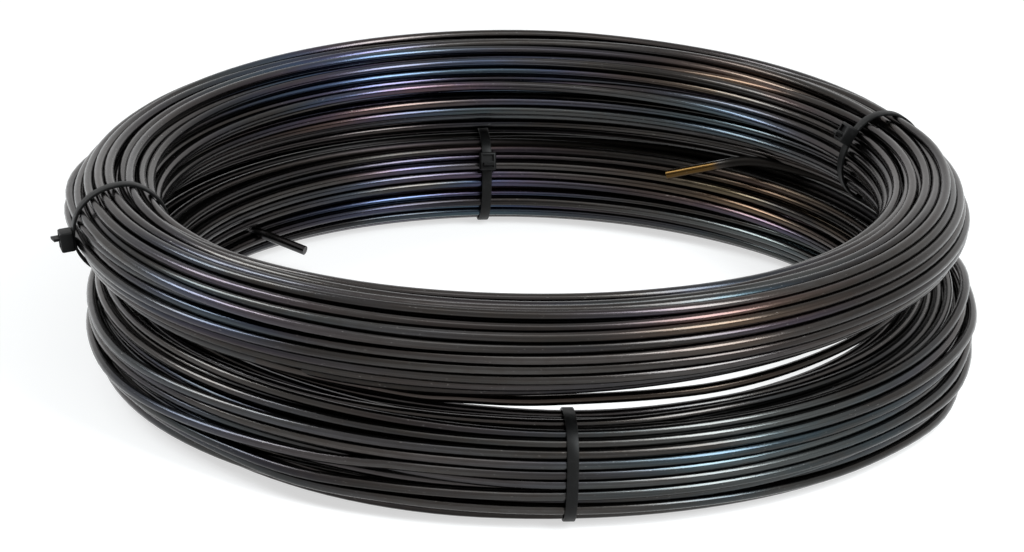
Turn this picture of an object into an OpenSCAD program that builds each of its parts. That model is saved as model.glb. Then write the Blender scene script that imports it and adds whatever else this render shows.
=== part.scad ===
// Coil of steel wire in two tied bundles, lying flat with its eye upright.
// Millimetres, +Z up, front towards -Y. The origin is on the floor, midway between the bundles' axes.

/* [Wire] */
// Diameter of the wire
wire_d = 4.5; // [3:0.1:6]
// How far neighbouring turns sink into each other on a bundle's skin
turn_seat = 0.1; // [0.05:0.05:0.3]

/* [Lower bundle] */
// Radius of the circle through the middle of the lower bundle
lower_mean_r = 180; // [150:1:220]
// Radial width of the lower bundle
lower_w = 37.7; // [32:0.1:46]
// Height of the lower bundle
lower_h = 45; // [38:0.5:54]
// Rounding of the lower bundle's section
lower_corner_r = 14.5; // [10:0.5:16]

/* [Upper bundle] */
// How much the middle circle of the upper bundle is wider than the lower one's
upper_step = -1; // [-4:0.5:4]
// Radial width of the upper bundle
upper_w = 43.6; // [36:0.1:50]
// Height of the upper bundle
upper_h = 40.5; // [36:0.5:50]
// Rounding of the upper bundle's section
upper_corner_r = 19; // [12:0.5:20]
// How far the upper bundle lies to the left of the lower one
bundle_offset = 5.5; // [0:0.5:10]
// Direction in which the upper bundle is propped up, as an angle from +X
propped_side = -25; // [-60:1:10]

/* [Last turn] */
// Room left above and below the last turn where it crosses between the bundles
turn_clear = 0.5; // [0.3:0.1:1.5]
// How much wider the gap between the bundles opens on the propped side
prop_play = 3; // [0:0.5:6]
// How far outside the mean circle the last turn lies at the front
turn_out = 0; // [-6:0.5:10]
// Angle at which the last turn comes out of the inner wall
turn_exit_angle = 41; // [25:1:60]
// How far the last turn climbs beside the upper bundle as it comes out
exit_rise = 6.5; // [0:0.5:8]
// Angle at which the free end starts to droop
droop_start_angle = 49; // [45:1:60]
// Droop of the free end
droop_angle = 21; // [5:0.5:30]
// Bend radius of the droop
droop_r = 40; // [20:1:80]
// Straight length of the free end
free_end_l = 41; // [15:1:60]

/* [First end] */
// Angle at which the bent first end leaves the inner wall of the lower bundle
first_end_angle = 144.5; // [110:0.5:170]
// Height of the first end above the bottom of the lower bundle
first_end_h = 17.5; // [10:0.5:30]
// Length of the first end outside the inner wall
first_end_l = 25; // [8:1:40]
// Sideways slant of the first end from the radius
first_end_slant = 10; // [0:1:30]
// Droop of the first end
first_end_droop = 10; // [0:1:20]

/* [Cable ties] */
// Width of the strap
tie_w = 4.8; // [3:0.1:8]
// Thickness of the strap
tie_t = 1.3; // [0.8:0.1:2]
// Clearance between a strap and the wire
tie_clear = 0.2; // [0.1:0.05:0.5]
// Length of the head along the strap
head_l = 8; // [6:0.5:11]
// Width of the head across the strap
head_w = 7.5; // [6:0.5:11]
// Height of the head above the strap
head_t = 5.5; // [4:0.5:8]
// Chamfer on the head's outer edges
head_chamfer = 1; // [0.3:0.1:1.5]
// Length of the trimmed tail that stands out of the head
tail_l = 3; // [0.5:0.5:12]
// Gap round the tail in the mouth of the head
mouth_gap = 0.3; // [0.1:0.05:0.4]
// Depth of the mouth
mouth_depth = 2.5; // [1:0.5:3.5]
// Height of the catch window beside the mouth, along the strap
catch_l = 1.6; // [0.8:0.1:2]
// Depth of the catch window
catch_depth = 1.2; // [0.5:0.1:2]
// Angle of the front tie of the lower bundle
lower_front_angle = -84; // [-110:1:-60]
// Angle of the back tie of the lower bundle
lower_back_angle = 98.5; // [75:0.5:115]
// Angle of the left tie of the upper bundle
upper_left_angle = -163; // [-178:1:-150]
// Angle of the right tie of the upper bundle
upper_right_angle = 21; // [5:1:35]

/* [Hidden] */
$fn = 96;

wire_colour = [0.30, 0.29, 0.30];
tie_colour = [0.09, 0.09, 0.09];

// Where the heads sit on their loops: the direction in which each head points, seen in the
// bundle's section, with 0 outwards, 90 up and 180 into the eye
lower_front_head = 180;
lower_back_head = 168;
upper_left_head = 0;
upper_right_head = 135;

// The roundings, kept small enough to leave a flat on every side of their sections
least_flat = 1;
lower_r = min(lower_corner_r, (lower_w - least_flat) / 2, (lower_h - least_flat) / 2);
upper_r = min(upper_corner_r, (upper_w - least_flat) / 2, (upper_h - least_flat) / 2);

// The bundles' places
upper_mean_r = lower_mean_r + upper_step;
lower_x = bundle_offset / 2;
upper_x = -bundle_offset / 2;
strap_room = tie_t + tie_clear;
lower_base = strap_room;
lower_top = lower_base + lower_h;
// Gap between the bundles on the low side, which takes one strap
low_gap = tie_t + 2 * tie_clear;
// Gap on the propped side, which takes the last turn with some play
high_gap = max(low_gap, wire_d + 2 * turn_clear + prop_play);
prop_angle = asin((high_gap - low_gap) / (2 * upper_mean_r));
mid_gap = (low_gap + high_gap) / 2;
upper_base = lower_top + mid_gap;

// The last turn is a circle a little off the coil's axis: furthest out at the front, and through
// the inner wall at its exit angle
front_angle = -90;
inner_wall = max(lower_w - 2 * lower_x, upper_w - 2 * upper_x) / 2;
turn_off = (turn_out + inner_wall) / (1 - cos(turn_exit_angle - front_angle));
turn_r = lower_mean_r + turn_out - turn_off;

// Radial place of the last turn from the mean circle, at an angle round the coil
function turn_place(angle) = turn_r - lower_mean_r + turn_off * cos(angle - front_angle);

// Gap between the bundles at the middle of their sections, at an angle round the coil
function gap_at(angle) = mid_gap + (high_gap - low_gap) / 2 * cos(angle - propped_side);

// How far a rounded section falls away at a distance from its middle
function fall(x, w, r) =
    let (s = max(0, abs(x) - (w / 2 - r)))
    s >= r ? r : r - sqrt(r * r - s * s);

// Height between the bundles where the last turn lies
function room_at(angle) =
    gap_at(angle)
    + fall(turn_place(angle), lower_w, lower_r)
    + fall(turn_place(angle) + bundle_offset * cos(angle), upper_w, upper_r);

// The last turn starts where the gap between the bundles grows too tight for it
search_step = 1;
search_end = front_angle - 80;
function turn_start(angle) =
    room_at(angle - search_step) < wire_d + 2 * turn_clear || angle < search_end
    ? angle : turn_start(angle - search_step);
turn_start_angle = turn_start(front_angle);

// A rectangle with round corners, about its centre
module rounded_section(w, h, r) {
    square([w - 2 * r, h], center = true);
    square([w, h - 2 * r], center = true);
    for (sx = [-1, 1], sy = [-1, 1])
        translate([sx * (w / 2 - r), sy * (h / 2 - r)])
            circle(r = r);
}

// Point of a corner's arc, a length s along it from an angle
function arc_point(centre, r, from, s) =
    let (angle = from + s / r * 180 / PI)
    centre + r * [cos(angle), sin(angle)];

// Point at a length s along the outline of a rounded rectangle, from the middle of its right side
function outline_point(s, w, h, r) =
    let (
        side = h - 2 * r,
        top = w - 2 * r,
        bend = PI / 2 * r,
        stops = [side / 2, side / 2 + bend, side / 2 + bend + top, side / 2 + 2 * bend + top],
        half = side + 2 * bend + top
    )
    s >= half ? -outline_point(s - half, w, h, r)
    : s < stops[0] ? [w / 2, s]
    : s < stops[1] ? arc_point([w / 2 - r, h / 2 - r], r, 0, s - stops[0])
    : s < stops[2] ? [w / 2 - r - (s - stops[1]), h / 2]
    : s < stops[3] ? arc_point([r - w / 2, h / 2 - r], r, 90, s - stops[2])
    : [-w / 2, h / 2 - r - (s - stops[3])];

// Section of a bundle: a solid heart and the turns that show on its skin
module bundle_section(w, h, r) {
    heart_w = w - wire_d;
    heart_h = h - wire_d;
    heart_r = r - wire_d / 2;
    around = 2 * (heart_w + heart_h - 4 * heart_r) + 2 * PI * heart_r;
    turns = ceil(around / (wire_d - turn_seat));
    rounded_section(heart_w, heart_h, heart_r);
    for (i = [0 : turns - 1])
        translate(outline_point(i * around / turns, heart_w, heart_h, heart_r))
            circle(d = wire_d);
}

// Leans a thing by the angle at which the upper bundle is propped up
module propped() {
    rotate([0, 0, propped_side])
        rotate([0, -prop_angle, 0])
            rotate([0, 0, -propped_side])
                children();
}

// The bent first end of the wire, from inside the bundle to its cut face in the eye
module first_end() {
    translate([lower_x, 0, lower_base + first_end_h])
        rotate([0, 0, first_end_angle])
            translate([lower_mean_r - lower_w / 2 + wire_d, 0, 0])
                rotate([0, -90 - first_end_droop, first_end_slant])
                    cylinder(d = wire_d, h = first_end_l + wire_d);
}

module lower_bundle() {
    color(wire_colour) {
        translate([lower_x, 0, lower_base + lower_h / 2])
            rotate_extrude()
                translate([lower_mean_r, 0])
                    bundle_section(lower_w, lower_h, lower_r);
        first_end();
    }
}

module upper_bundle() {
    color(wire_colour)
        translate([upper_x, 0, upper_base])
            propped()
                translate([0, 0, upper_h / 2])
                    rotate_extrude()
                        translate([upper_mean_r, 0])
                            bundle_section(upper_w, upper_h, upper_r);
}

// The middle line of the last turn: the circle, the bend of the droop and the straight free end
turn_steps = 48;
bend_steps = 5;
droop_heading = [-sin(droop_start_angle), cos(droop_start_angle), 0];
function eased(t) = t <= 0 ? 0 : t >= 1 ? 1 : t * t * (3 - 2 * t);
function turn_rise(angle) =
    exit_rise * eased((angle - upper_right_angle) / (droop_start_angle - upper_right_angle));
function turn_point(angle) =
    [turn_r * cos(angle), turn_r * sin(angle) - turn_off, turn_rise(angle)];
function bend_point(angle) =
    turn_point(droop_start_angle)
    + droop_r * sin(angle) * droop_heading
    - [0, 0, droop_r * (1 - cos(angle))];
turn_line = [
    for (i = [0 : turn_steps])
        turn_point(turn_start_angle + (droop_start_angle - turn_start_angle) * i / turn_steps),
    for (i = [1 : bend_steps])
        bend_point(droop_angle * i / bend_steps),
    bend_point(droop_angle)
        + free_end_l * (cos(droop_angle) * droop_heading - [0, 0, sin(droop_angle)])
];

// A round wire swept along a line of points that never runs straight up
module wire_along(line, d, sides = 12) {
    last = len(line) - 1;
    function unit(v) = v / norm(v);
    function heading(i) = unit(line[min(i + 1, last)] - line[max(i - 1, 0)]);
    function across(i) = unit(cross(heading(i), [0, 0, 1]));
    function upward(i) = cross(across(i), heading(i));
    rings = [
        for (i = [0 : last], k = [0 : sides - 1])
            line[i] + d / 2 * (cos(360 * k / sides) * across(i) + sin(360 * k / sides) * upward(i))
    ];
    walls = [
        for (i = [0 : last - 1], k = [0 : sides - 1])
            let (n = (k + 1) % sides)
            [i * sides + k, i * sides + n, (i + 1) * sides + n, (i + 1) * sides + k]
    ];
    first_face = [for (k = [0 : sides - 1]) sides - 1 - k];
    last_face = [for (k = [0 : sides - 1]) last * sides + k];
    polyhedron(rings, concat([first_face, last_face], walls));
}

// The last turn, close under the upper bundle that it comes from
module last_turn() {
    color(wire_colour)
        translate([0, 0, upper_base])
            propped()
                translate([0, 0, -turn_clear - wire_d / 2])
                    wire_along(turn_line, wire_d);
}

// The head of a tie on the outside of its strap, pointing along +X, with the strap along Y
module tie_head() {
    base = -tie_t / 2;
    mouth_y = head_l / 6;
    past_face = 1;
    catch_bar = 0.3;
    catch_y = mouth_y - tie_t / 2 - mouth_gap - catch_bar - catch_l;
    difference() {
        translate([0, 0, -head_w / 2])
            linear_extrude(head_w)
                polygon([
                    [base, -head_l / 2], [head_t - head_chamfer, -head_l / 2],
                    [head_t, -head_l / 2 + head_chamfer], [head_t, head_l / 2 - head_chamfer],
                    [head_t - head_chamfer, head_l / 2], [base, head_l / 2]
                ]);
        translate([head_t - mouth_depth, mouth_y - tie_t / 2 - mouth_gap, -tie_w / 2 - mouth_gap])
            cube([mouth_depth + past_face, tie_t + 2 * mouth_gap, tie_w + 2 * mouth_gap]);
        translate([head_t - catch_depth, catch_y, -tie_w / 2])
            cube([catch_depth + past_face, catch_l, tie_w]);
    }
    translate([head_t - mouth_depth - tie_t / 2, mouth_y - tie_t / 2, -tie_w / 2])
        cube([mouth_depth + tie_t / 2 + tail_l, tie_t, tie_w]);
}

// A closed tie round a bundle's section, about the section's centre, with its head at an angle
module tie(w, h, r, head_angle) {
    strap_r = r + strap_room;
    color(tie_colour) {
        linear_extrude(tie_w, center = true)
            difference() {
                rounded_section(w + 2 * strap_room, h + 2 * strap_room, strap_r);
                rounded_section(w + 2 * tie_clear, h + 2 * tie_clear, r + tie_clear);
            }
        translate([sign(cos(head_angle)) * (w / 2 - r), sign(sin(head_angle)) * (h / 2 - r), 0])
            rotate([0, 0, head_angle])
                translate([strap_r, 0, 0])
                    tie_head();
    }
}

module lower_tie(angle, head_angle) {
    translate([lower_x, 0, lower_base + lower_h / 2])
        rotate([0, 0, angle])
            translate([lower_mean_r, 0, 0])
                rotate([90, 0, 0])
                    tie(lower_w, lower_h, lower_r, head_angle);
}

module upper_tie(angle, head_angle) {
    translate([upper_x, 0, upper_base])
        propped()
            rotate([0, 0, angle])
                translate([upper_mean_r, 0, upper_h / 2])
                    rotate([90, 0, 0])
                        tie(upper_w, upper_h, upper_r, head_angle);
}

module lower_tie_front() {
    lower_tie(lower_front_angle, lower_front_head);
}

module lower_tie_back() {
    lower_tie(lower_back_angle, lower_back_head);
}

module upper_tie_left() {
    upper_tie(upper_left_angle, upper_left_head);
}

module upper_tie_right() {
    upper_tie(upper_right_angle, upper_right_head);
}

lower_bundle();
upper_bundle();
last_turn();
lower_tie_front();
lower_tie_back();
upper_tie_left();
upper_tie_right();
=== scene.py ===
import math

import bmesh
import bpy
import numpy as np
from mathutils import Matrix, Vector


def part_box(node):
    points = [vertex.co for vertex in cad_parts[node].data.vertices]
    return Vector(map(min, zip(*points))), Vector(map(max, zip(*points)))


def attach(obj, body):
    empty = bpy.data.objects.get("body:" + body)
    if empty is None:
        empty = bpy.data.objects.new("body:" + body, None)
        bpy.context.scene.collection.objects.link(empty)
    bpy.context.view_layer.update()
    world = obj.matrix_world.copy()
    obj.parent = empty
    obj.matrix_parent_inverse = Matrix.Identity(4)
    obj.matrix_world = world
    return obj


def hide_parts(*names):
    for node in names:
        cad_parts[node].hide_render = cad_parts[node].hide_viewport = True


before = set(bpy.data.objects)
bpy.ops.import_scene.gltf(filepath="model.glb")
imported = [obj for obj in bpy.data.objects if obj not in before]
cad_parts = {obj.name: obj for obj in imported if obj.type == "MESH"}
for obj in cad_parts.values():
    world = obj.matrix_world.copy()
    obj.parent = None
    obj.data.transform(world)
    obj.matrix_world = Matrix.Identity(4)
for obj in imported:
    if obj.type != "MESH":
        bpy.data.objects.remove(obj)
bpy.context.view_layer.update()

MM = 0.001

# The wire, with the bevel resolution that makes it round, and the sections of the two bundles
WIRE_D = 4.5 * MM
WIRE_ROUNDNESS = 3
LOWER_WIDTH = 37.7 * MM
LOWER_CORNER = 14.5 * MM
UPPER_WIDTH = 43.6 * MM
UPPER_HEIGHT = 40.5 * MM
UPPER_CORNER = 19 * MM
# The side on which the upper bundle is propped up
PROPPED_SIDE = math.radians(-25)

# How the turns are laid: turns in a bundle, stations in a turn, and the seed of each bundle's chances
LOWER_TURNS = 70
UPPER_TURNS = 62
STATIONS = 128
LOWER_SEED = 11
UPPER_SEED = 23
# Lines and spots of seats on either side of a section's middle, and the factor that widens their pitch
SEATS_EACH_WAY = 8
PITCH_GROWTH = 1.005
# Where in its turn the wire crosses to the next seat, and the crossing's length, as shares of a turn
CROSSING_PLACE = (0.2, 0.8)
CROSSING_LENGTH = (0.1, 0.3)
# How the wire wanders: knots in a turn, the share of loose turns, and how far loose and tight turns wander
WANDER_KNOTS = 5
LOOSE_SHARE = 0.2
LOOSE_WANDER = 3.0
TIGHT_WANDER = 0.7
# The spread over which the wander and the slack of the section are smoothed, in stations
WANDER_SPREAD = STATIONS * 0.08
SLACK_SPREAD = STATIONS / 60
# How the turns settle: rounds, and the share of them after which the turns only close up
SETTLING_ROUNDS = 220
CLOSING_FROM = 0.85
# What a round takes back: shares of an overlap, of the way past the wall and of the way to the seat
OVERLAP_SHARE = 0.45
WALL_SHARE = 0.7
SEAT_SHARE = 0.02
# Added to each distance between wires, so that none is zero
LEAST_DISTANCE = 0.01 * MM
# How far a round straightens the wire, at first and while it closes up, and over how many stations
STRAIGHTENING = 0.6
CLOSING_STRAIGHTENING = 0.25
STIFF_STATIONS = 3.0

# The azimuths of the ties, and the direction of each head in its section: 0 out, 90 up, 180 into the eye
LOWER_FRONT_TIE = math.radians(-84)
LOWER_BACK_TIE = math.radians(98.5)
UPPER_LEFT_TIE = math.radians(-163)
UPPER_RIGHT_TIE = math.radians(21)
LOWER_FRONT_HEAD = math.radians(180)
LOWER_BACK_HEAD = math.radians(159)
UPPER_LEFT_HEAD = math.radians(-6)
UPPER_RIGHT_HEAD = math.radians(148)

# The strap of a tie: its section, its clearance, the steps round its loop and its stiffness in steps
STRAP_WIDTH = 4.8 * MM
STRAP_THICKNESS = 1.3 * MM
STRAP_EDGE = 0.35 * MM
STRAP_CLEAR = 0.15 * MM
STRAP_STEPS = 120
STRAP_STIFFNESS = STRAP_STEPS / 30
# The head of a tie, with the mouth and the catch window sunk into its top
HEAD_LENGTH = 9 * MM
HEAD_WIDTH = 8 * MM
HEAD_HEIGHT = 6.2 * MM
HEAD_EDGE = 0.9 * MM
MOUTH_PLACE = HEAD_LENGTH / 6
MOUTH_ROOM = 0.45 * MM
MOUTH_RIM = 0.35 * MM
MOUTH_DEPTH = 1.4 * MM
# The trimmed tail: how far it stands out of the mouth and goes into it, and the slant of the cut
TAIL_STUB = 3 * MM
TAIL_ROOT = 2 * MM
TAIL_SLANT = 0.18
TAIL_EDGE = 0.15 * MM
# Edges sharper than this stay sharp, on a wire's ends and on a tie
WIRE_CREASE = math.radians(60)
TIE_CREASE = math.radians(35)

# The first end, bent out of the inner wall into the eye
FIRST_END_AZIMUTH = math.radians(144.5)
FIRST_END_SLANT = math.radians(10)
FIRST_END_DROOP = math.radians(10)
FIRST_END_LENGTH = 33 * MM
FIRST_END_BEND = 8 * MM
FIRST_END_STEPS = 4
FIRST_END_BEND_STEPS = 8
# How far and for how many stations it stays behind the innermost turns
FIRST_END_TUCK = 6.5 * MM
FIRST_END_TUCK_STATIONS = 14

# The last turn leaves the upper bundle's underside here, and ends free in the eye
LAST_TURN_START = math.radians(-120)
# Its route: azimuth in degrees, radius from the coil's axis and height in millimetres
LAST_TURN_ROUTE = (
    (-106, 179, 48.9),
    (-97, 178.5, 49.2),
    (-85, 178, 49.6),
    (-63, 178, 49.7),
    (-42, 177, 51.3),
    (-20, 176, 51.6),
    (5, 177, 50.3),
    (25, 178, 50.3),
    (35, 177, 50.6),
    (41, 172, 51.8),
    (46, 164, 53.6),
    (50, 159.5, 52.4),
    (56, 156, 46.6),
    (63.8, 153.8, 39.0),
)
LAST_TURN_STEPS = 14
# It starts some stations back inside the wire that it comes from, so it is a hair thinner; its heading there
# is taken from a station further back
LAST_TURN_LAP = 3
LAST_TURN_HEADING = 8
LAST_TURN_D = WIRE_D * 0.995
# Its share of tint and the film's place, its straw-coloured tip, and painted shade behind the tip, where the
# free end lies in the recess's shadow
LAST_TURN_TINT = (0.15, 0.2)
STRAW_TIP = 27 * MM
STRAW_FADE = 6 * MM
LAST_TURN_SHADE = 0.8
SHADE_START_FADE = 10 * MM
SHADE_END = 150 * MM
SHADE_END_FADE = 40 * MM

# The wire's colours
DARK_OXIDE = (0.017, 0.0155, 0.0145)
PALE_OXIDE = (0.056, 0.053, 0.051)
BROWN_OXIDE = (0.034, 0.027, 0.022)
SCUFFED_STEEL = (0.22, 0.21, 0.20)
STRAW = (0.062, 0.035, 0.011)
# Black painted shade, laid on the wire where it lies in the shadow of the recess between the bundles
PAINTED_SHADE_BLACK = (0.005, 0.0045, 0.004)
# The colours of the heat's film by its place
TEMPER_COLOURS = (
    (0.00, (0.077, 0.060, 0.038)),
    (0.18, (0.091, 0.058, 0.037)),
    (0.36, (0.082, 0.050, 0.050)),
    (0.50, (0.056, 0.044, 0.070)),
    (0.64, (0.037, 0.053, 0.094)),
    (0.80, (0.045, 0.072, 0.086)),
    (0.94, (0.066, 0.074, 0.074)),
)
# The tint and the film's place that the whole wire has
BASE_TINT = 0.08
BASE_FILM = 0.5
# How far the film's place shifts along a wire and with its blotches
FILM_SHIFT = 1.8
FILM_MOTTLE = 0.15
# Shares of the brown blotches and of the scuffs in the colour
BROWN_SHARE = 0.4
SCUFF_SHARE = 0.35
# The wire's roughness, and what the draw marks, the scuffs and the painted shade add to it
WIRE_ROUGHNESS = 0.13
MARKS_ROUGHNESS = 0.14
SCUFFS_ROUGHNESS = 0.12
PAINTED_SHADE_ROUGHNESS = 0.4
# Where the upper bundle's wire starts in the pattern, in metres, so that it has marks of its own
UPPER_RUN_START = 200.0

# The ties' colours and gloss, and what the grain and the rubbing add to the roughness
NYLON = (0.004, 0.004, 0.004)
RUBBED_NYLON = (0.011, 0.011, 0.011)
NYLON_GLOSS = 0.14
NYLON_ROUGHNESS = 0.38
GRAIN_ROUGHNESS = 0.12
RUBBED_ROUGHNESS = 0.1

# The studio: half the floor's side in metres, its grey under the lamps and its glow as seen, the sky's
# strength as light and what is added to it as seen, and the lamps' colour
FLOOR_HALF = 6.0
FLOOR_GREY = (0.45, 0.45, 0.45)
FLOOR_GLOW = 0.62
SKY_LIGHT = 0.2
SKY_SEEN = 0.8
WHITE = (1, 1, 1)
LAMP_COLOUR = (0.93, 0.98, 1.0)

# The camera at the photograph's viewing angle: lens and sensor in millimetres, its place and its turns
LENS = 123.81
SENSOR = 36
CAMERA_PLACE = (0.0119, -1.4913, 0.5991)
CAMERA_YAW = math.radians(0.657)
CAMERA_TILT = math.radians(69.30)
CAMERA_ROLL = math.radians(1.584)


class Bundle:
    """A ring of turns whose section is a rounded oblong, placed by the box of its CAD node."""

    def __init__(self, node, width, corner, slack, height=None):
        low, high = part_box(node)
        self.width = width
        self.corner = corner
        self.slack = np.array(slack)
        self.height = height or high.z - low.z
        self.axis_x = (low.x + high.x) / 2
        self.mid_z = (low.z + high.z) / 2
        self.mean_r = (high.x - low.x - width) / 2
        self.lean = (high.z - low.z - self.height) / (2 * self.mean_r)

    def at(self, azimuth, out, up):
        """Points at azimuths round the coil and places in the section, outwards and upwards."""
        x = (self.mean_r + out) * np.cos(azimuth)
        y = (self.mean_r + out) * np.sin(azimuth)
        rise = self.lean * (x * math.cos(PROPPED_SIDE) + y * math.sin(PROPPED_SIDE))
        return np.stack(np.broadcast_arrays(self.axis_x + x, y, self.mid_z + up + rise), -1)

    def section_frame(self, azimuth):
        """The place of the section at an azimuth, with X outwards and Y up."""
        middle = Vector(self.at(azimuth, 0.0, 0.0))
        out = (Vector(self.at(azimuth, 1.0, 0.0)) - middle).normalized()
        across = out.cross(Vector((0, 0, 1))).normalized()
        turned = Matrix((out, across.cross(out), across)).transposed().to_4x4()
        return Matrix.Translation(middle) @ turned


# How far the turns stand off their CAD section round the coil, because the ties draw them together and
# they slacken in between: azimuth in degrees, then outwards, inwards, upwards and downwards in millimetres
LOWER_SLACK = (
    (-163, 0.3, 0.5, 0.0, -0.5),
    (-145, 1.5, 0.5, 0.0, 0.5),
    (-122, 2.0, 0.5, -1.2, 1.0),
    (-106, 1.0, 0.5, -1.0, 1.0),
    (-98, 0.6, 0.3, -2.0, 0.8),
    (-90, 0.2, 0.1, -3.2, 0.2),
    (-84, 0.0, 0.0, -4.0, 0.0),
    (-63, 0.0, 0.5, -2.7, 0.0),
    (-40, 1.5, 0.5, -2.0, 0.8),
    (-25, 3.0, 0.5, -1.3, 1.0),
    (-10, 1.0, 0.5, 0.5, 1.0),
    (30, 1.5, 0.0, 1.0, 0.8),
    (60, 1.0, 1.5, 0.4, 1.0),
    (98, 0.0, 0.3, -0.2, 0.0),
    (120, 0.5, 2.0, 0.0, 1.0),
    (140, 1.0, 3.2, 0.0, 1.0),
)
UPPER_SLACK = (
    (-163, 0.5, -4.0, 2.9, -5.0),
    (-135, 1.0, -0.3, 0.3, -0.8),
    (-120, 0.8, 0.2, 0.0, -1.5),
    (-107, 0.6, 0.4, 0.0, 1.6),
    (-98, 0.5, 0.5, 0.0, 2.3),
    (-90, 0.5, 0.4, -0.1, 1.0),
    (-84, 0.5, 0.4, -0.3, -0.2),
    (-73, 0.5, 0.3, -0.7, -2.2),
    (-55, 0.5, -1.5, -2.3, -4.5),
    (-38, 0.0, -3.0, -3.0, -7.4),
    (-28, 1.0, -3.2, -2.2, -7.5),
    (-8, 3.0, -3.5, 0.0, -4.5),
    (5, 4.5, -3.0, 2.5, -2.0),
    (13, 5.0, -2.3, 3.0, -1.0),
    (21, -6.5, -1.5, 2.4, 1.5),
    (38, 0.5, -1.5, 2.5, 4.0),
    (70, 1.0, 0.0, 4.1, 4.0),
    (95, 1.0, 0.5, 6.7, 3.6),
    (120, 1.0, 0.5, 8.2, 2.6),
    (155, 0.3, 0.5, 1.2, 0.0),
    (178, -1.5, 0.0, 0.8, -1.0),
)
# Loose turns drawn away from a bundle: how many of the outermost turns, the azimuth and its spread and the
# direction in the section in degrees, and the distance in millimetres
LOWER_PULLS = (
    (1, -6, 14, 55, 4.5),
    (1, -14, 12, 20, 2.0),
    (2, -22, 11, -25, 2.2),
    (2, -118, 10, -25, 2.5),
    (2, -148, 16, 5, 3.5),
)
UPPER_PULLS = (
    (2, 180, 12, 5, 3.5),
)
lower = Bundle("lower_bundle", LOWER_WIDTH, LOWER_CORNER, LOWER_SLACK)
upper = Bundle("upper_bundle", UPPER_WIDTH, UPPER_CORNER, UPPER_SLACK, UPPER_HEIGHT)


def eased(t):
    """A smooth step from 0 to 1."""
    t = np.clip(t, 0, 1)
    return t * t * (3 - 2 * t)


def apart(a, b):
    """The angle between two azimuths, by the short way."""
    return np.abs((a - b + np.pi) % (2 * np.pi) - np.pi)


def smoothed(values, sigma):
    """Rows of values smoothed along their order, in stations."""
    reach = int(3 * sigma)
    kernel = np.exp(-0.5 * (np.arange(-reach, reach + 1) / sigma) ** 2)
    kernel /= kernel.sum()
    padded = np.pad(values, ((reach, reach), (0, 0)), mode="edge")
    return np.stack([np.convolve(column, kernel, "valid") for column in padded.T], -1)


def beyond_wall(places, half, corner):
    """How far places lie outside a rounded oblong, and the way out."""
    q = np.abs(places) - (half - np.reshape(corner, (-1, 1)))
    outside = np.maximum(q, 0)
    reach = np.linalg.norm(outside, axis=-1) + 1e-9
    depth = reach + np.minimum(q.max(-1), 0) - corner
    return depth, np.sign(places) * outside / reach[..., None]


def turn_seats(bundle, turns, by_rows):
    """Places of the turns in the section, as shares of its half sizes: close lines, filled to and fro."""
    half = np.array([bundle.width, bundle.height]) / 2 - WIRE_D / 2
    corner = bundle.corner - WIRE_D / 2
    each_way = np.arange(-SEATS_EACH_WAY, SEATS_EACH_WAY + 1)
    line, spot = np.meshgrid(each_way, each_way, indexing="ij")
    close = np.stack([line * math.sqrt(0.75), spot + line % 2 / 2], -1).reshape(-1, 2)
    order = line.ravel()
    if by_rows:
        close = close[:, ::-1]
        order = -order
    pitch = WIRE_D
    while np.count_nonzero(beyond_wall(close * pitch, half, corner)[0] <= 0) > turns:
        pitch *= PITCH_GROWTH
    nearest = np.argsort(beyond_wall(close * pitch, half, corner)[0], kind="stable")[:turns]
    seats, order = close[nearest] * pitch / half, order[nearest]
    to_and_fro = np.where((order - order.min()) % 2 == 0, 1, -1)
    seats = seats[np.lexsort((seats[:, 0 if by_rows else 1] * to_and_fro, order))]
    # The wire starts in the second seat, so that its end comes out between two turns
    seats[[0, 1]] = seats[[1, 0]]
    return seats


def section_room(bundle, azimuth):
    """The middle and the half sizes of the room for the wires' centres at each azimuth."""
    knots = np.radians(bundle.slack[:, 0])
    sides = [np.interp(azimuth, knots, side, period=2 * math.pi) for side in bundle.slack[:, 1:].T * MM]
    out, inner, up, down = smoothed(np.stack(sides, -1), SLACK_SPREAD).T
    middle = np.stack([(out - inner) / 2, (up - down) / 2], -1)
    half = np.stack([bundle.width + out + inner, bundle.height + up + down], -1) / 2 - WIRE_D / 2
    return middle, half


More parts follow.
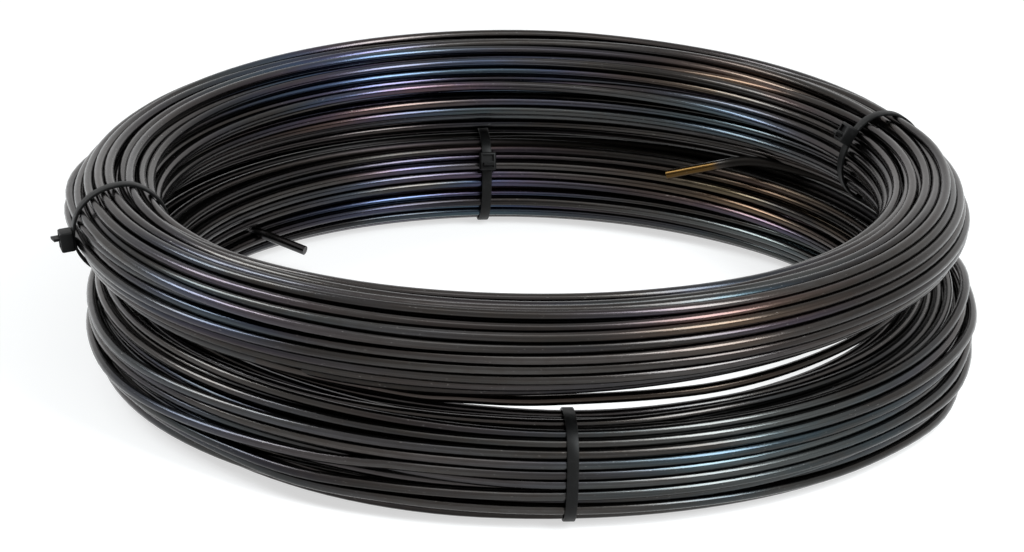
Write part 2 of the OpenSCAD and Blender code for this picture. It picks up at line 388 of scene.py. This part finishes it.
def lay_turns(bundle, length, start, by_rows, seed):
    """Winds a bundle, its length in turns: each turn moves on to the next seat, and all of them settle."""
    rng = np.random.default_rng(seed)
    turns = math.ceil(length)
    laid = round(length * STATIONS)
    station = np.arange(turns * STATIONS)
    turn = station // STATIONS
    azimuth = start + station * 2 * math.pi / STATIONS
    middle, half = section_room(bundle, azimuth)
    seats = turn_seats(bundle, turns, by_rows)

    crossing = rng.uniform(*CROSSING_PLACE, turns)
    crossing_length = rng.uniform(*CROSSING_LENGTH, turns)
    moved = eased((station % STATIONS / STATIONS - crossing[turn]) / crossing_length[turn] + 0.5)[:, None]
    aim = seats[turn] * (1 - moved) + seats[np.minimum(turn + 1, turns - 1)] * moved
    knots = rng.normal(size=(turns * WANDER_KNOTS + 2, 2)) * MM
    at_knot = station / STATIONS * WANDER_KNOTS
    wander = np.stack([np.interp(at_knot, np.arange(len(knots)), column) for column in knots.T], -1)
    looseness = np.where(rng.uniform(size=turns) < LOOSE_SHARE, LOOSE_WANDER, TIGHT_WANDER)
    aim = middle + aim * half + smoothed(wander, WANDER_SPREAD) * looseness[turn][:, None]

    corner = np.minimum(bundle.corner - WIRE_D / 2, half.min(-1))
    there = (station < laid).reshape(turns, STATIONS).T
    pairs = (there[:, :, None] & there[:, None, :] & ~np.eye(turns, dtype=bool)).astype(np.float32)
    places = aim.astype(np.float32)
    for settling in range(SETTLING_ROUNDS):
        closing = settling > CLOSING_FROM * SETTLING_ROUNDS
        sections = places.reshape(turns, STATIONS, 2).transpose(1, 0, 2)
        gaps = sections[:, :, None, :] - sections[:, None, :, :]
        distance = np.sqrt(gaps[..., 0] ** 2 + gaps[..., 1] ** 2) + LEAST_DISTANCE
        push = np.maximum(WIRE_D / distance - 1, 0) * OVERLAP_SHARE * pairs
        sections = sections + (gaps * push[..., None]).sum(2)
        places = sections.transpose(1, 0, 2).reshape(-1, 2)
        depth, way_out = beyond_wall(places - middle, half, corner)
        places = places - way_out * np.maximum(depth, 0)[:, None] * WALL_SHARE
        if not closing:
            places = places + (aim - places) * SEAT_SHARE
        places[laid:] = places[laid - 1]
        straightening = CLOSING_STRAIGHTENING if closing else STRAIGHTENING
        places = places + (smoothed(places, STIFF_STATIONS) - places) * straightening
        places = places.astype(np.float32)
    return azimuth[:laid], places[:laid].astype(float)


def pull_out(azimuth, places, pulls):
    """Draws loose turns away from a bundle."""
    for count, where, spread, direction, distance in pulls:
        way = np.array([math.cos(math.radians(direction)), math.sin(math.radians(direction))])
        near = np.flatnonzero(apart(azimuth, math.radians(where)) < math.pi / STATIONS)
        for outermost in near[np.argsort(places[near] @ way)[-count:]]:
            along = (np.arange(len(places)) - outermost) * 360 / STATIONS
            places = places + np.exp(-(along / spread) ** 2)[:, None] * way * distance * MM
    return places


class Socket:
    """A node's output that takes part in Python sums; each sum adds a Math node."""

    def __init__(self, finish, output):
        self.finish = finish
        self.output = output

    def math(self, operation, a, b):
        sockets = {"Value": a, "Value_001": b}
        return self.finish.node("Math", "Value", {"operation": operation}, sockets)

    def __add__(self, other):
        return self.math("ADD", self, other)

    def __sub__(self, other):
        return self.math("SUBTRACT", self, other)

    def __mul__(self, other):
        return self.math("MULTIPLY", self, other)

    __radd__ = __add__


class Finish:
    """The node tree of a material or the world in the making."""

    def __init__(self, owner):
        self.owner = owner
        owner.use_nodes = True
        self.tree = owner.node_tree
        self.tree.nodes.clear()

    def node(self, kind, result, settings, sockets):
        """Adds a node, with its settings first, then its sockets; gives back one of its outputs."""
        node = self.tree.nodes.new("ShaderNode" + kind)
        for name, value in settings.items():
            if name == "stops":
                while len(node.color_ramp.elements) < len(value):
                    node.color_ramp.elements.new(1.0)
                for element, (position, colour) in zip(node.color_ramp.elements, value):
                    element.position = position
                    element.color = (*colour, 1.0)
            else:
                setattr(node, name, value)
        for name, value in sockets.items():
            socket = next(s for s in node.inputs if name in (s.identifier, s.name))
            if isinstance(value, Socket):
                self.tree.links.new(value.output, socket)
            elif socket.type == "RGBA":
                socket.default_value = (*value, 1.0)
            else:
                socket.default_value = value
        return Socket(self, node.outputs[result]) if result else node

    def mix(self, factor, a, b):
        settings = {"data_type": "RGBA", "clamp_factor": True}
        sockets = {"Factor_Float": factor, "A_Color": a, "B_Color": b}
        node = self.node("Mix", None, settings, sockets)
        return Socket(self, next(s for s in node.outputs if s.identifier == "Result_Color"))

    def noise(self, vector, scale, detail=2.0, roughness=0.5):
        """Noise with a scale of its own along each axis."""
        sockets = {"Vector": vector, "Vector_001": scale}
        place = self.node("VectorMath", "Vector", {"operation": "MULTIPLY"}, sockets)
        sockets = {"Vector": place, "Scale": 1.0, "Detail": detail, "Roughness": roughness}
        return self.node("TexNoise", "Fac", {}, sockets)

    def ramp(self, factor, low, high):
        """A value's rise from 0 to 1 between two limits."""
        sockets = {"Value": factor, "From Min": low, "From Max": high}
        return self.node("MapRange", "Result", {"interpolation_type": "SMOOTHSTEP"}, sockets)

    def surface(self, sockets):
        shader = self.node("BsdfPrincipled", "BSDF", {}, sockets)
        self.node("OutputMaterial", None, {}, {"Surface": shader})
        return self.owner


def annealed_wire():
    """Dark oxide on drawn steel: long draw marks, pale scuffs, temper colours in places and black painted
    shade.
    """
    finish = Finish(bpy.data.materials.new("annealed_wire"))
    run = finish.node("Attribute", "Vector", {"attribute_name": "run"}, {})
    heat = finish.node("Attribute", "Vector", {"attribute_name": "tint"}, {})
    parts = finish.node("SeparateXYZ", None, {}, {"Vector": heat})
    tinted, film, straw = (Socket(finish, parts.outputs[axis]) for axis in "XYZ")
    # The painted shade's share: 1 where the wire lies in the recess's shadow
    scale = finish.node("Attribute", "Fac", {"attribute_name": "scale_share"}, {})

    # The scales are per metre along the wire, and per radius across and up
    length_tone = finish.noise(run, (5.0, 0.3, 0.3), 3.0)
    film_shift = finish.noise(run, (4.3, 0.1, 0.1))
    tint_patches = finish.noise(run, (7.1, 0.1, 0.1))
    draw_marks = finish.noise(run, (30.0, 6.0, 6.0), 4.0, 0.65)
    blotches = finish.noise(run, (160.0, 1.2, 1.2), 3.0)
    scuffs = finish.ramp(finish.noise(run, (420.0, 3.5, 3.5), 3.0, 0.6), 0.66, 0.74)

    oxide = finish.mix(finish.ramp(length_tone, 0.3, 0.7), DARK_OXIDE, PALE_OXIDE)
    oxide = finish.mix(finish.ramp(blotches, 0.35, 0.75) * BROWN_SHARE, oxide, BROWN_OXIDE)
    film_place = film + (film_shift - 0.5) * FILM_SHIFT + (blotches - 0.5) * FILM_MOTTLE
    temper = finish.node("ValToRGB", "Color", {"stops": TEMPER_COLOURS}, {"Fac": film_place})
    colour = finish.mix(tinted * finish.ramp(tint_patches, 0.38, 0.58), oxide, temper)
    colour = finish.mix(straw, colour, STRAW)
    colour = finish.mix(scuffs * SCUFF_SHARE, colour, SCUFFED_STEEL)
    # Painted shade: the wire turns black, and rougher, where it lies in shadow
    colour = finish.mix(scale, colour, PAINTED_SHADE_BLACK)

    roughness = WIRE_ROUGHNESS + draw_marks * MARKS_ROUGHNESS
    roughness = roughness + scuffs * SCUFFS_ROUGHNESS + scale * PAINTED_SHADE_ROUGHNESS
    height = draw_marks + blotches * 0.6
    relief = {"Strength": 0.25, "Distance": 0.08 * MM, "Height": height}
    return finish.surface({
        "Base Color": colour,
        "Metallic": 1.0,
        "Roughness": roughness,
        "Normal": finish.node("Bump", "Normal", {}, relief),
    })


def black_nylon():
    """Moulded nylon, matte and a little grainy, paler where it has been rubbed."""
    finish = Finish(bpy.data.materials.new("black_nylon"))
    place = finish.node("TexCoord", "Object", {}, {})
    grain = finish.noise(place, (2500.0, 2500.0, 2500.0), 3.0, 0.6)
    rubbed = finish.ramp(finish.noise(place, (260.0, 260.0, 260.0), 4.0, 0.6), 0.5, 0.75)
    relief = {"Strength": 0.2, "Distance": 0.05 * MM, "Height": grain}
    return finish.surface({
        "Base Color": finish.mix(rubbed, NYLON, RUBBED_NYLON),
        "Specular IOR Level": NYLON_GLOSS,
        "Roughness": NYLON_ROUGHNESS + grain * GRAIN_ROUGHNESS + rubbed * RUBBED_ROUGHNESS,
        "Normal": finish.node("Bump", "Normal", {}, relief),
    })


def piece(mesh, name, node, material):
    """A finished piece of the coil that takes its CAD node's place."""
    obj = bpy.data.objects.new(name, mesh)
    bpy.context.collection.objects.link(obj)
    mesh.materials.clear()
    mesh.materials.append(material)
    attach(obj, "root")
    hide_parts(node)


def wire_mesh(name, line, heat, run_start, diameter=WIRE_D):
    """A round wire along a line of points, with its run, places across it, heat and painted shade as
    attributes.
    """
    curve = bpy.data.curves.new(name, "CURVE")
    curve.dimensions = "3D"
    curve.twist_mode = "Z_UP"
    curve.bevel_depth = diameter / 2
    curve.bevel_resolution = WIRE_ROUNDNESS
    curve.use_fill_caps = True
    spline = curve.splines.new("POLY")
    spline.points.add(len(line) - 1)
    spline.points.foreach_set("co", np.column_stack([line, np.ones(len(line))]).ravel())
    carrier = bpy.data.objects.new(name, curve)
    bpy.context.collection.objects.link(carrier)
    depsgraph = bpy.context.evaluated_depsgraph_get()
    mesh = bpy.data.meshes.new_from_object(carrier.evaluated_get(depsgraph))
    bpy.data.objects.remove(carrier)
    mesh.name = name

    corners = np.empty(len(mesh.vertices) * 3)
    mesh.vertices.foreach_get("co", corners)
    corners = corners.reshape(-1, 3)
    sides = len(corners) // (len(line) + 2)
    # The two end faces come first, then the rings in their order
    ring = np.repeat(np.concatenate([[len(line) - 1, 0], np.arange(len(line))]), sides)
    steps = np.linalg.norm(np.diff(line, axis=0), axis=1)
    run = run_start + np.concatenate([[0], np.cumsum(steps)])
    rise = (corners - line[ring])[:, 2] / (WIRE_D / 2)
    heading = np.gradient(line, axis=0)[ring]
    side = np.cross(heading, (0, 0, 1))
    side /= np.linalg.norm(side, axis=1)[:, None]
    across = ((corners - line[ring]) * side).sum(1) / (WIRE_D / 2)
    for label, values in (("run", np.column_stack([run[ring], across, rise])), ("tint", heat[ring, :3])):
        mesh.attributes.new(label, "FLOAT_VECTOR", "POINT").data.foreach_set("vector", values.ravel())
    mesh.attributes.new("scale_share", "FLOAT", "POINT").data.foreach_set("value", heat[ring, 3])
    mesh.shade_smooth()
    mesh.set_sharp_from_angle(angle=WIRE_CREASE)
    return mesh, run


# Where the wire took colour from the heat: azimuth and its spread, direction in the section and its
# spread, all in degrees, then the share of tint and the film's place, from brown through blue to pale grey
LOWER_HEAT = (
    (106, 16, 180, 60, 1.0, 0.38),
    (110, 20, 215, 40, 0.9, 0.75),
    (47, 18, 155, 30, 1.0, 0.10),
    (43, 16, 208, 30, 1.0, 0.95),
    (-135, 16, 10, 70, 0.2, 0.82),
    # Partly the wire's own grey-blue colour, partly painted light: the pale film lightens the outer wall at
    # the front right, which the lamps light broadly
    (-56, 20, 10, 60, 0.8, 0.95),
)
UPPER_HEAT = (
    (125, 18, 110, 50, 1.0, 0.76),
    (118, 16, 175, 40, 0.8, 0.50),
    (51, 14, 125, 26, 0.8, 0.12),
    (53, 14, 185, 26, 0.9, 0.84),
    (92, 14, 150, 60, 0.6, 0.70),
    (-60, 12, 40, 30, 0.8, 0.20),
    (-62, 14, 85, 30, 0.8, 0.90),
    (-130, 14, 20, 60, 0.4, 0.80),
)
# The recess between the bundles at the back, where the lower bundle's turns get black painted shade for the
# upper bundle's shadow: azimuth and its spread, direction in the section and its spread, in degrees, and its
# strength
RECESS = (78, 46, 100, 26)
RECESS_SHADE_STRENGTH = 1.6


def nearness(azimuth, places, around, spread, lift, lift_spread):
    """How near the stations of a bundle lie to an azimuth and a direction in the section, from 0 to 1."""
    direction = np.arctan2(places[:, 1], places[:, 0])
    near = np.exp(-(apart(azimuth, math.radians(around)) / math.radians(spread)) ** 2)
    return near * np.exp(-(apart(direction, math.radians(lift)) / math.radians(lift_spread)) ** 2)


def heat_of(azimuth, places, zones):
    """Tint, film, straw and painted shade at each station of a bundle."""
    share = np.full(len(azimuth), BASE_TINT)
    film = np.full(len(azimuth), BASE_TINT * BASE_FILM)
    for *where, tint, place in zones:
        near = nearness(azimuth, places, *where)
        share = share + near * tint
        film = film + near * tint * place
    none = np.zeros_like(share)
    return np.stack([np.minimum(share, 1), film / share, none, none], -1)


def bent_first_end(wall_point, wall_heading):
    """The first end: a short straight length in the eye and a bend into the inner wall."""
    turned = FIRST_END_AZIMUTH + math.pi + FIRST_END_SLANT
    level = math.cos(FIRST_END_DROOP)
    into_eye = np.array([math.cos(turned) * level, math.sin(turned) * level, -math.sin(FIRST_END_DROOP)])
    elbow = wall_point - wall_heading * FIRST_END_BEND
    straight_end = elbow + into_eye * FIRST_END_BEND
    tip = elbow + into_eye * FIRST_END_LENGTH
    t = np.linspace(0, 1, FIRST_END_BEND_STEPS + 1)[:-1, None]
    bend = straight_end * (1 - t) ** 2 + elbow * 2 * t * (1 - t) + wall_point * t ** 2
    straight = np.linspace(tip, straight_end, FIRST_END_STEPS + 1)[:-1]
    return np.concatenate([straight, bend])


def through(points, per_span):
    """A smooth line through points, with some steps to each span."""
    tangents = np.gradient(points, axis=0)
    t = np.linspace(0, 1, per_span, endpoint=False)[:, None]
    spans = []
    for a, b, leave, arrive in zip(points, points[1:], tangents, tangents[1:]):
        bend = (2 * t ** 3 - 3 * t ** 2 + 1) * a + (3 * t ** 2 - 2 * t ** 3) * b
        spans.append(bend + (t ** 3 - 2 * t ** 2 + t) * leave + (t ** 3 - t ** 2) * arrive)
    return np.concatenate(spans + [points[-1:]])


def last_turn_line(before, start):
    """The last turn: off the upper bundle's underside, along the gap and down into the eye."""
    azimuth, radius, height = np.array(LAST_TURN_ROUTE).T
    azimuth = np.radians(azimuth)
    route = np.stack([radius * MM * np.cos(azimuth), radius * MM * np.sin(azimuth), height * MM], -1)
    line = through(np.concatenate([[before, start], route]), LAST_TURN_STEPS)
    return line[LAST_TURN_STEPS:]


wire_finish = annealed_wire()
tie_finish = black_nylon()

# The lower bundle, from the bent first end to its other end, which is held under the back tie
lower_start = FIRST_END_AZIMUTH + FIRST_END_BEND / lower.mean_r
lower_length = LOWER_TURNS - (lower_start - LOWER_BACK_TIE) / (2 * math.pi)
lower_azimuth, lower_places = lay_turns(lower, lower_length, lower_start, by_rows=False, seed=LOWER_SEED)
lower_places = pull_out(lower_azimuth, lower_places, LOWER_PULLS)
# The first end comes from behind the innermost turns
untucked = eased(np.arange(len(lower_places)) / FIRST_END_TUCK_STATIONS)
lower_places[:, 0] += FIRST_END_TUCK * (1 - untucked)
lower_line = lower.at(lower_azimuth, lower_places[:, 0], lower_places[:, 1])
start_heading = np.array([-math.sin(lower_start), math.cos(lower_start), 0.0])
first_end = bent_first_end(lower_line[0], start_heading)
lower_heat_and_shade = heat_of(lower_azimuth, lower_places, LOWER_HEAT)
# Painted shade: the turns in the recess are blackened as if in the upper bundle's shadow
lower_heat_and_shade[:, 3] = np.minimum(RECESS_SHADE_STRENGTH * nearness(lower_azimuth, lower_places, *RECESS), 1)
lower_heat_and_shade = np.concatenate([np.repeat(lower_heat_and_shade[:1], len(first_end), 0), lower_heat_and_shade])
lower_mesh, _ = wire_mesh("lower_turns", np.concatenate([first_end, lower_line]), lower_heat_and_shade, 0.0)
piece(lower_mesh, "lower_turns", "lower_bundle", wire_finish)

# The upper bundle, from its end under the right tie down to where the last turn leaves its underside
upper_length = UPPER_TURNS - 1 + (LAST_TURN_START - UPPER_RIGHT_TIE) % (2 * math.pi) / (2 * math.pi)
upper_azimuth, upper_places = lay_turns(upper, upper_length, UPPER_RIGHT_TIE, by_rows=True, seed=UPPER_SEED)
upper_places = pull_out(upper_azimuth, upper_places, UPPER_PULLS)
upper_line = upper.at(upper_azimuth, upper_places[:, 0], upper_places[:, 1])
upper_heat = heat_of(upper_azimuth, upper_places, UPPER_HEAT)
upper_mesh, upper_run = wire_mesh("upper_turns", upper_line, upper_heat, UPPER_RUN_START)
piece(upper_mesh, "upper_turns", "upper_bundle", wire_finish)

# The last turn goes on from there
onward = last_turn_line(upper_line[-LAST_TURN_HEADING], upper_line[-1])
last_line = np.concatenate([upper_line[-LAST_TURN_LAP:-1], onward])
from_tip = np.linalg.norm(last_line - last_line[-1], axis=1)
last_heat_and_shade = np.zeros((len(last_line), 4))
last_heat_and_shade[:, :2] = LAST_TURN_TINT
last_heat_and_shade[:, 2] = eased((STRAW_TIP - from_tip) / STRAW_FADE + 0.5)
# Painted shade: black from behind the straw tip to where the free end leaves the recess's shadow
behind_tip = eased((from_tip - STRAW_TIP) / SHADE_START_FADE)
last_heat_and_shade[:, 3] = LAST_TURN_SHADE * behind_tip * eased((SHADE_END - from_tip) / SHADE_END_FADE)
last_mesh, _ = wire_mesh("last_turn_wire", last_line, last_heat_and_shade, upper_run[-LAST_TURN_LAP], LAST_TURN_D)
piece(last_mesh, "last_turn_wire", "last_turn", wire_finish)


def tight_loop(wires):
    """A stiff strap's way round the wires that it holds: directions round the section, and the points of its
    inner face that look in these directions."""
    turned = np.arange(STRAP_STEPS) * 2 * math.pi / STRAP_STEPS
    ways = np.stack([np.cos(turned), np.sin(turned)], -1)
    reach = (wires @ ways.T).max(0)[:, None]
    reach = smoothed(np.concatenate([reach] * 3), STRAP_STIFFNESS)[STRAP_STEPS:-STRAP_STEPS]
    slope = np.gradient(np.concatenate([reach[-1:], reach, reach[:1]])[:, 0], turned[1])[1:-1, None]
    aside = np.stack([-ways[:, 1], ways[:, 0]], -1)
    return ways, (reach + WIRE_D / 2 + STRAP_CLEAR) * ways + slope * aside


def round_off(bm, edges, offset, segments):
    """Rounds edges off."""
    bmesh.ops.bevel(
        bm, geom=edges, offset=offset, affect="EDGES", segments=segments, profile=0.5, material=-1)


def strap_loop(bm, ways, inner):
    """The strap: a flat band round the loop, with its edges rounded."""
    ring = bmesh.ops.create_circle(bm, segments=STRAP_STEPS, radius=1.0)["verts"]
    for vert in ring:
        step = round(math.atan2(vert.co.y, vert.co.x) / (2 * math.pi) * STRAP_STEPS) % STRAP_STEPS
        vert.co = (*(inner[step] + ways[step] * STRAP_THICKNESS), -STRAP_WIDTH / 2)
    grown = bmesh.ops.extrude_edge_only(bm, edges=bm.edges[:])["geom"]
    rim = [g for g in grown if isinstance(g, bmesh.types.BMVert)]
    bmesh.ops.translate(bm, verts=rim, vec=(0, 0, STRAP_WIDTH))
    bmesh.ops.recalc_face_normals(bm, faces=bm.faces[:])
    bmesh.ops.solidify(bm, geom=bm.faces[:], thickness=STRAP_THICKNESS)
    sharp = [edge for edge in bm.edges if edge.calc_face_angle(0) > 1]
    round_off(bm, sharp, STRAP_EDGE, 2)


def block(bm, size, middle):
    """A block of a size round a middle; gives back its corners."""
    made = bmesh.ops.create_cube(bm, size=1.0)["verts"]
    bmesh.ops.scale(bm, vec=size, verts=made)
    bmesh.ops.translate(bm, vec=middle, verts=made)
    return made


def edges_of(corners):
    """The edges that meet at corners, each once."""
    return list(dict.fromkeys(edge for vert in corners for edge in vert.link_edges))


def tie_head(bm):
    """The head with its mouth and catch window, and the trimmed tail that stands out of the mouth."""
    head = block(bm, (HEAD_HEIGHT, HEAD_LENGTH, HEAD_WIDTH), (HEAD_HEIGHT / 2, 0, 0))
    round_off(bm, edges_of(head), HEAD_EDGE, 3)
    split_y = MOUTH_PLACE - STRAP_THICKNESS / 2 - MOUTH_ROOM
    bmesh.ops.bisect_plane(
        bm, geom=bm.verts[:] + bm.edges[:] + bm.faces[:], plane_co=(0, split_y, 0), plane_no=(0, 1, 0))
    for side in (-1, 1):
        top = max(
            (f for f in bm.faces if f.normal.x > 0.9 and (f.calc_center_median().y - split_y) * side > 0),
            key=lambda f: f.calc_area())
        bmesh.ops.inset_individual(bm, faces=[top], thickness=MOUTH_RIM, use_even_offset=True)
        sunk = bmesh.ops.extrude_discrete_faces(bm, faces=[top])["faces"]
        bmesh.ops.translate(bm, verts=sunk[0].verts[:], vec=(-MOUTH_DEPTH, 0, 0))
    tail = block(
        bm, (TAIL_STUB + TAIL_ROOT, STRAP_THICKNESS, STRAP_WIDTH),
        (HEAD_HEIGHT + TAIL_STUB / 2 - TAIL_ROOT / 2, MOUTH_PLACE, 0))
    for vert in tail:
        if vert.co.x > HEAD_HEIGHT:
            vert.co.x += TAIL_SLANT * vert.co.z
    round_off(bm, edges_of(tail), TAIL_EDGE, 1)


def cable_tie(name, node, bundle, turns, azimuth, head_direction):
    """A closed tie round a bundle's turns at an azimuth."""
    turn_azimuth, places = turns
    wires = places[apart(turn_azimuth, azimuth) < math.pi / STATIONS]
    ways, inner = tight_loop(wires)
    # The floor keeps the lower straps flat
    inner[:, 1] = np.maximum(inner[:, 1], STRAP_THICKNESS - bundle.mid_z)
    strap = bmesh.new()
    strap_loop(strap, ways, inner)
    head = bmesh.new()
    tie_head(head)
    step = round(head_direction / (2 * math.pi) * STRAP_STEPS) % STRAP_STEPS
    seat = inner[step] + ways[step] * STRAP_THICKNESS / 2
    head.transform(Matrix.Translation((*seat, 0)) @ Matrix.Rotation(head_direction, 4, "Z"))
    joined = bpy.data.meshes.new(name)
    head.to_mesh(joined)
    strap.from_mesh(joined)
    strap.transform(bundle.section_frame(azimuth))
    bmesh.ops.recalc_face_normals(strap, faces=strap.faces[:])
    strap.to_mesh(joined)
    strap.free()
    head.free()
    joined.shade_smooth()
    joined.set_sharp_from_angle(angle=TIE_CREASE)
    piece(joined, name, node, tie_finish)


lower_laid = (lower_azimuth, lower_places)
upper_laid = (upper_azimuth, upper_places)
cable_tie("front_tie", "lower_tie_front", lower, lower_laid, LOWER_FRONT_TIE, LOWER_FRONT_HEAD)
cable_tie("back_tie", "lower_tie_back", lower, lower_laid, LOWER_BACK_TIE, LOWER_BACK_HEAD)
cable_tie("left_tie", "upper_tie_left", upper, upper_laid, UPPER_LEFT_TIE, UPPER_LEFT_HEAD)
cable_tie("right_tie", "upper_tie_right", upper, upper_laid, UPPER_RIGHT_TIE, UPPER_RIGHT_HEAD)


def seen_directly(finish):
    """1 for rays from the camera, reflections and what shines through, 0 for light that falls on things."""
    path = finish.node("LightPath", None, {}, {})
    seen = None
    for name in ("Is Camera Ray", "Is Glossy Ray", "Is Transmission Ray"):
        ray = Socket(finish, path.outputs[name])
        seen = ray if seen is None else ray.math("MAXIMUM", seen, ray)
    return seen


def studio_floor():
    """A white floor that keeps a soft shadow."""
    bm = bmesh.new()
    bmesh.ops.create_grid(bm, x_segments=1, y_segments=1, size=FLOOR_HALF)
    mesh = bpy.data.meshes.new("floor")
    bm.to_mesh(mesh)
    bm.free()
    floor = bpy.data.objects.new("floor", mesh)
    bpy.context.collection.objects.link(floor)
    finish = Finish(bpy.data.materials.new("white_floor"))
    lit = finish.node("BsdfDiffuse", "BSDF", {}, {"Color": FLOOR_GREY})
    strength = seen_directly(finish) * FLOOR_GLOW
    glow = finish.node("Emission", "Emission", {}, {"Color": WHITE, "Strength": strength})
    both = finish.node("AddShader", "Shader", {}, {"Shader": lit, "Shader_001": glow})
    finish.node("OutputMaterial", None, {}, {"Surface": both})
    mesh.materials.append(finish.owner)


def softbox(name, azimuth, elevation, distance, width, height, radiance):
    """A flat lamp that faces the coil, with its angles in degrees; its power follows from its brightness."""
    azimuth = math.radians(azimuth)
    elevation = math.radians(elevation)
    lamp = bpy.data.lights.new(name, "AREA")
    lamp.shape = "RECTANGLE"
    lamp.size = width
    lamp.size_y = height
    lamp.energy = radiance * math.pi * width * height
    lamp.color = LAMP_COLOUR
    holder = bpy.data.objects.new(name, lamp)
    bpy.context.collection.objects.link(holder)
    flat = Vector((math.cos(azimuth), math.sin(azimuth), 0)) * math.cos(elevation)
    way = flat + Vector((0, 0, math.sin(elevation)))
    holder.location = way * distance
    holder.rotation_euler = way.to_track_quat("Z", "Y").to_euler()


def studio_world():
    """White behind the coil and in its reflections, softer as light."""
    world = bpy.data.worlds.new("studio")
    bpy.context.scene.world = world
    finish = Finish(world)
    strength = SKY_LIGHT + seen_directly(finish) * SKY_SEEN
    sky = finish.node("Background", "Background", {}, {"Color": WHITE, "Strength": strength})
    finish.node("OutputWorld", None, {}, {"Surface": sky})


studio_floor()
studio_world()
softbox("right_softbox", azimuth=-40, elevation=42, distance=1.6, width=0.54, height=1.0, radiance=17.0)
softbox("left_softbox", azimuth=176, elevation=42, distance=1.6, width=0.42, height=0.9, radiance=14.0)
softbox("top_softbox", azimuth=-90, elevation=64, distance=1.6, width=1.2, height=0.6, radiance=2.2)

lens = bpy.data.cameras.new("camera")
lens.lens = LENS
lens.sensor_width = SENSOR
camera = bpy.data.objects.new("camera", lens)
bpy.context.collection.objects.link(camera)
turned = Matrix.Rotation(CAMERA_YAW, 4, "Z") @ Matrix.Rotation(CAMERA_TILT, 4, "X")
turned = turned @ Matrix.Rotation(CAMERA_ROLL, 4, "Z")
camera.matrix_world = Matrix.Translation(CAMERA_PLACE) @ turned
bpy.context.scene.camera = camera
bpy.context.scene.view_settings.view_transform = "Standard"
